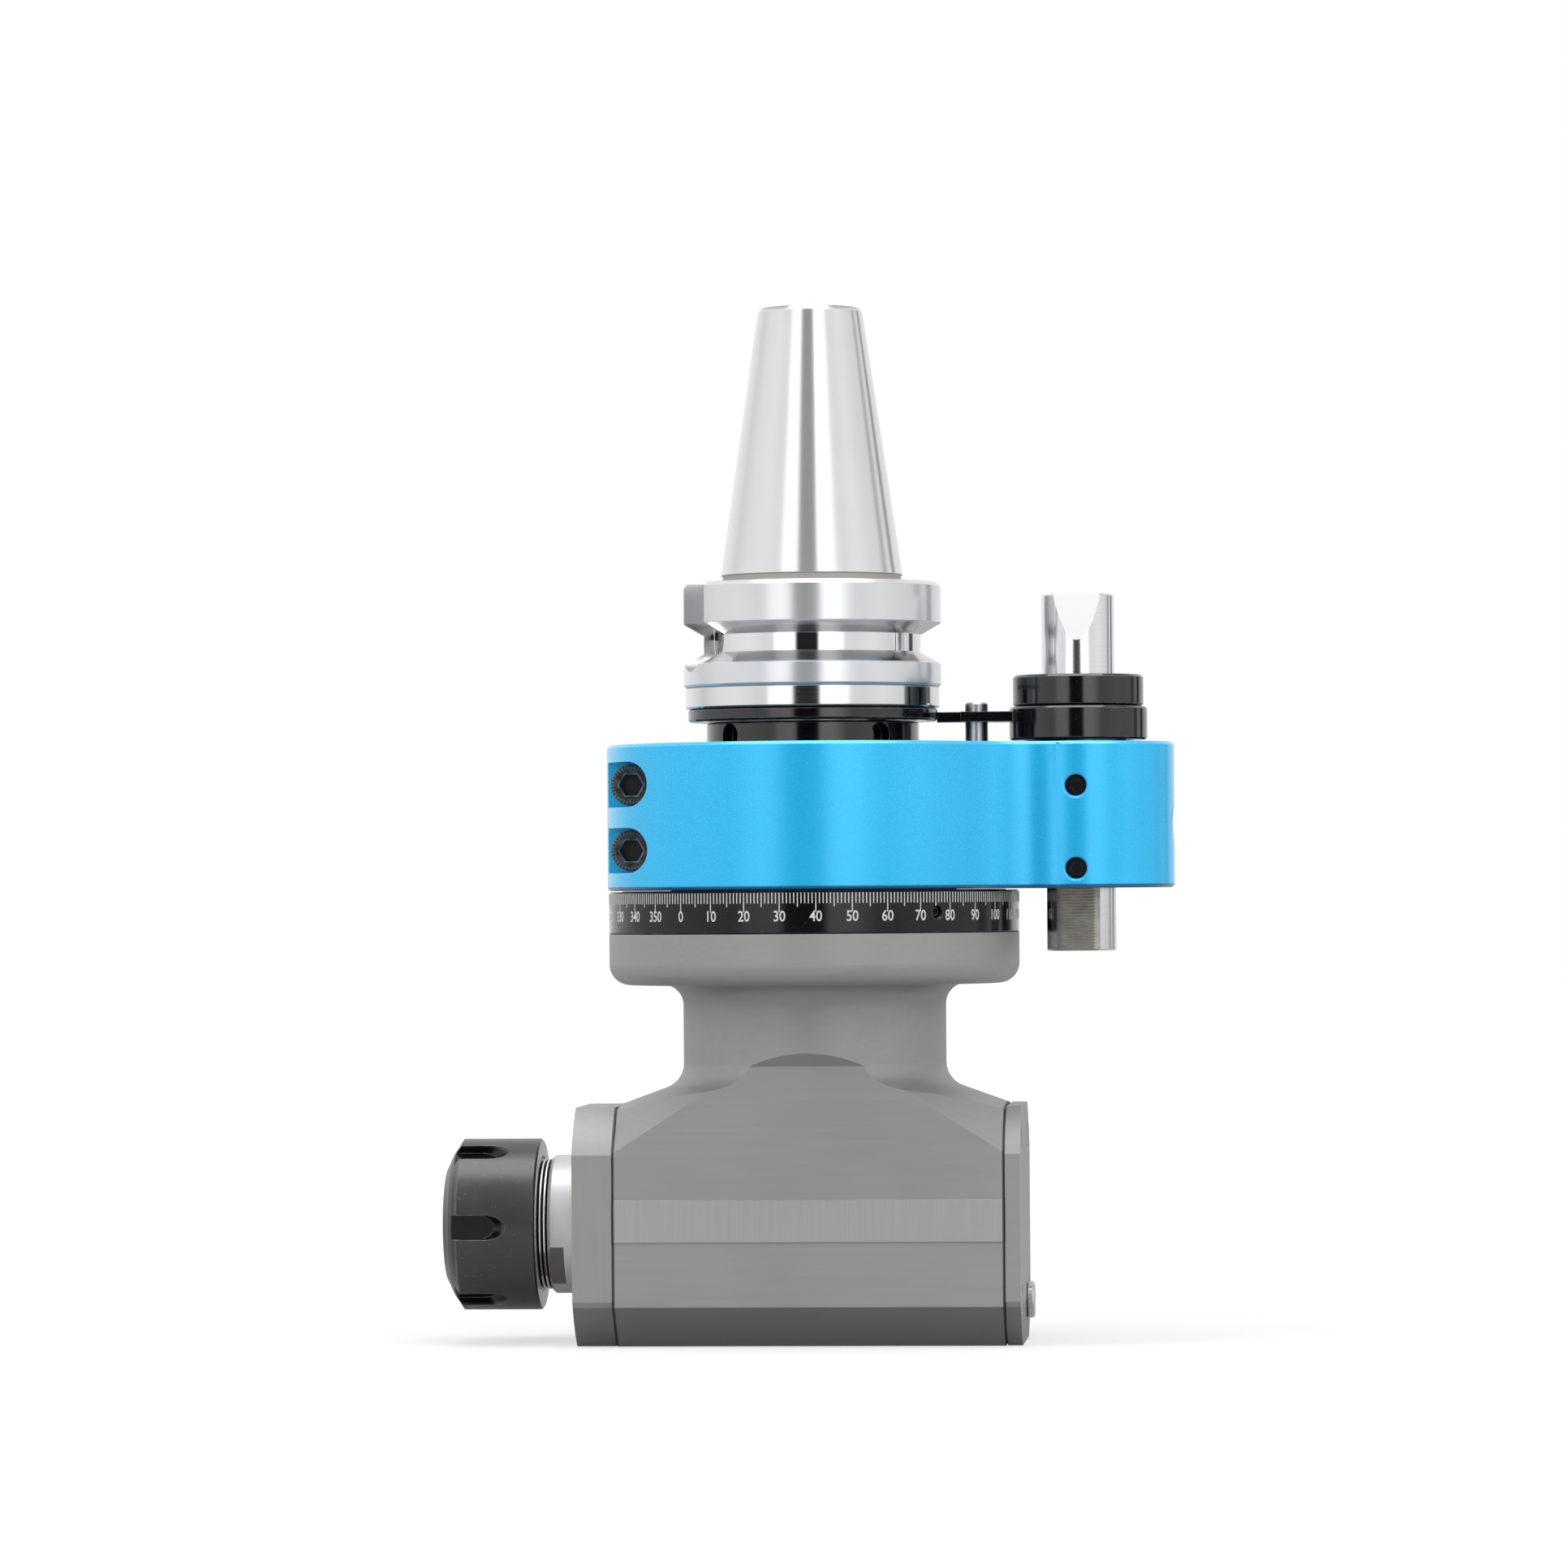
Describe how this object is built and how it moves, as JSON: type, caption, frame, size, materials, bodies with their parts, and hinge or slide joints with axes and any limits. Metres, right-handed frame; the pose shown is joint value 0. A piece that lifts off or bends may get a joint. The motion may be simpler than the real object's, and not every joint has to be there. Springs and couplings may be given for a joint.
{
  "type": "right angle milling head",
  "caption": "Right angle milling head: steep taper shank above, torque ring with sprung stop pin, and a collet spindle at a right angle below.",
  "frame": {"origin": "on the input axis, at the flat base face that the body stands on", "axes": "+Z along the input axis towards the shank, -X along the output axis towards the collet nut, -Y towards the clamp screws' heads"},
  "size_m": [0.1787, 0.101, 0.2529],
  "materials": {
    "ground_steel": "fine ground, matt",
    "bright_steel": "turned and ground",
    "polished_steel": "polished",
    "black_oxide": "blackened, satin",
    "blue_anodised": "anodised, satin",
    "seal_rubber": "moulded"
  },
  "bodies": {
    "housing": {"housing": "ground_steel", "front_plate": "ground_steel", "rear_cover": "ground_steel", "plate_screws": "black_oxide", "cover_screws": "bright_steel", "grease_plug": "bright_steel", "scale_ring": "black_oxide", "scale_screw": "black_oxide", "input_sleeve": "bright_steel", "sleeve_bolts": "black_oxide", "bearing_nut": "black_oxide", "input_seal": "seal_rubber", "input_bearing_upper_outer": "bright_steel", "input_bearing_lower_outer": "bright_steel", "output_bearing_front_outer": "bright_steel", "output_bearing_rear_outer": "bright_steel", "output_seal": "seal_rubber"},
    "input_spindle": {"input_spindle": "polished_steel", "flange_ring": "polished_steel", "lock_ring": "black_oxide", "input_bearing_upper_inner": "bright_steel", "input_bearing_lower_inner": "bright_steel", "input_shaft_nut": "black_oxide", "input_bevel_gear": "bright_steel", "gear_washer": "bright_steel", "gear_screw": "black_oxide"},
    "output_spindle": {"output_spindle": "polished_steel", "output_bevel_gear": "bright_steel", "output_bearing_front_inner": "bright_steel", "output_bearing_rear_inner": "bright_steel", "shaft_nut": "black_oxide", "collet": "bright_steel"},
    "collet_nut": {"collet_nut": "black_oxide"},
    "torque_ring": {"torque_ring": "blue_anodised", "clamp_screws": "black_oxide", "pin_bush": "bright_steel", "bush_screws": "black_oxide", "side_screw": "black_oxide", "guide_dowel": "bright_steel"},
    "stop_pin": {"stop_pin": "polished_steel", "lock_arm": "black_oxide", "pin_collar": "black_oxide", "pin_spring": "bright_steel"}
  },
  "joints": [
    {"name": "input_spin", "type": "hinge", "parent": "housing", "child": "input_spindle", "pos_m": [0, 0, 0.15], "axis": [0, 0, 1], "continuous": true},
    {"name": "output_spin", "type": "hinge", "parent": "housing", "child": "output_spindle", "pos_m": [-0.04, 0, 0.029], "axis": [1, 0, 0], "continuous": true},
    {"name": "collet_nut_turn", "type": "hinge", "parent": "output_spindle", "child": "collet_nut", "pos_m": [-0.078, 0, 0.029], "axis": [1, 0, 0], "range_deg": [0, 360]},
    {"name": "torque_ring_turn", "type": "hinge", "parent": "housing", "child": "torque_ring", "pos_m": [0, 0, 0.128], "axis": [0, 0, 1], "continuous": true},
    {"name": "stop_pin_slide", "type": "slide", "parent": "torque_ring", "child": "stop_pin", "axis": [0, 0, 1], "range_m": [-0.005, 0], "stiffness_N_per_m": 3000, "springref_m": 0.004, "deforming": ["pin_spring"]}
  ],
  "couplings": [
    {"joint": "output_spin", "follows": "input_spin", "ratio": 1}
  ]
}
